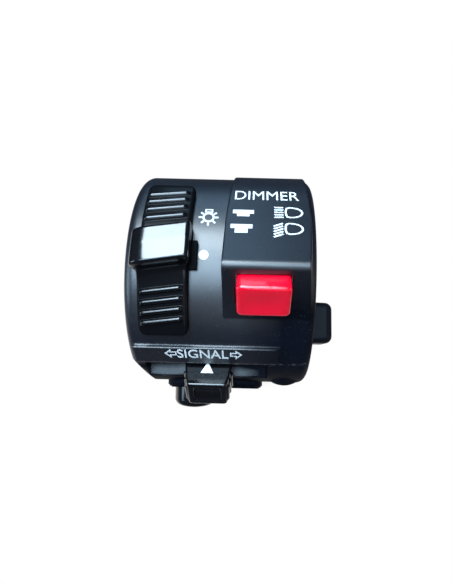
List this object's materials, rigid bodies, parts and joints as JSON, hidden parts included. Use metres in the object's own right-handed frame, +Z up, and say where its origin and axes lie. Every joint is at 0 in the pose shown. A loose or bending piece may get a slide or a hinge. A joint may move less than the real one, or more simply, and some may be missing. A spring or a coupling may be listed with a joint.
{
  "type": "motorcycle handlebar switch cluster",
  "caption": "Split round housing that clamps on a handlebar, with a ribbed light slider, red dip push button, turn-signal slide, horn button and wiring loom.",
  "frame": {"origin": "on the handlebar axis, in the middle of the housing's length", "axes": "+X along the handlebar towards the bike's middle, +Z up, the rider sits towards -Y"},
  "size_m": [0.0567, 0.0629, 0.1195],
  "materials": {
    "housing": "fine-grained satin black moulding",
    "gloss_black": "polished black moulding",
    "red_plastic": "polished red moulding",
    "screw_steel": "zinc-plated steel",
    "spring_steel": "bright spring wire",
    "brass": "bright stamped brass",
    "nylon": "natural nylon",
    "resin": "brown laminate",
    "rubber": "satin black rubber",
    "loom_sleeve": "smooth black sleeve",
    "strap": "black strap",
    "connector": "natural moulded plug"
  },
  "bodies": {
    "housing": {"upper_housing": "housing", "lower_housing": "housing", "clamp_screw_rear": "screw_steel", "clamp_screw_front": "screw_steel", "light_contact_plate": "resin", "light_contacts": "brass", "dip_spring": "spring_steel", "dip_base": "resin", "dip_contacts": "brass", "turn_contact_plate": "resin", "turn_contacts": "brass", "horn_spring": "spring_steel", "horn_contact_plate": "resin", "horn_contact": "brass", "cable_boot": "rubber", "loom_lead": "loom_sleeve", "loom_coil": "loom_sleeve", "coil_tie": "strap", "connector_body": "connector", "connector_terminals": "brass"},
    "light_switch": {"light_slider": "gloss_black", "light_carrier": "nylon", "light_wiper": "brass"},
    "dip_switch": {"dip_button": "red_plastic", "dip_plunger": "nylon"},
    "turn_switch": {"turn_knob": "gloss_black", "turn_carrier": "nylon", "turn_wiper": "brass"},
    "horn_switch": {"horn_button": "gloss_black", "horn_plunger": "nylon"}
  },
  "joints": [
    {"name": "light_turn", "type": "hinge", "parent": "housing", "child": "light_switch", "pos_m": [0, 0, 0], "axis": [-1, 0, 0], "range_deg": [0, 28]},
    {"name": "dip_press", "type": "slide", "parent": "housing", "child": "dip_switch", "axis": [0, 0.9397, -0.342], "range_m": [0, 0.0024], "stiffness_N_per_m": 800, "springref_m": -0.002, "deforming": ["dip_spring"]},
    {"name": "turn_slide", "type": "slide", "parent": "housing", "child": "turn_switch", "axis": [1, 0, 0], "range_m": [-0.0065, 0.0065]},
    {"name": "horn_press", "type": "slide", "parent": "housing", "child": "horn_switch", "axis": [0, 0.9205, 0.3907], "range_m": [0, 0.002], "stiffness_N_per_m": 900, "springref_m": -0.0015, "deforming": ["horn_spring"]}
  ]
}
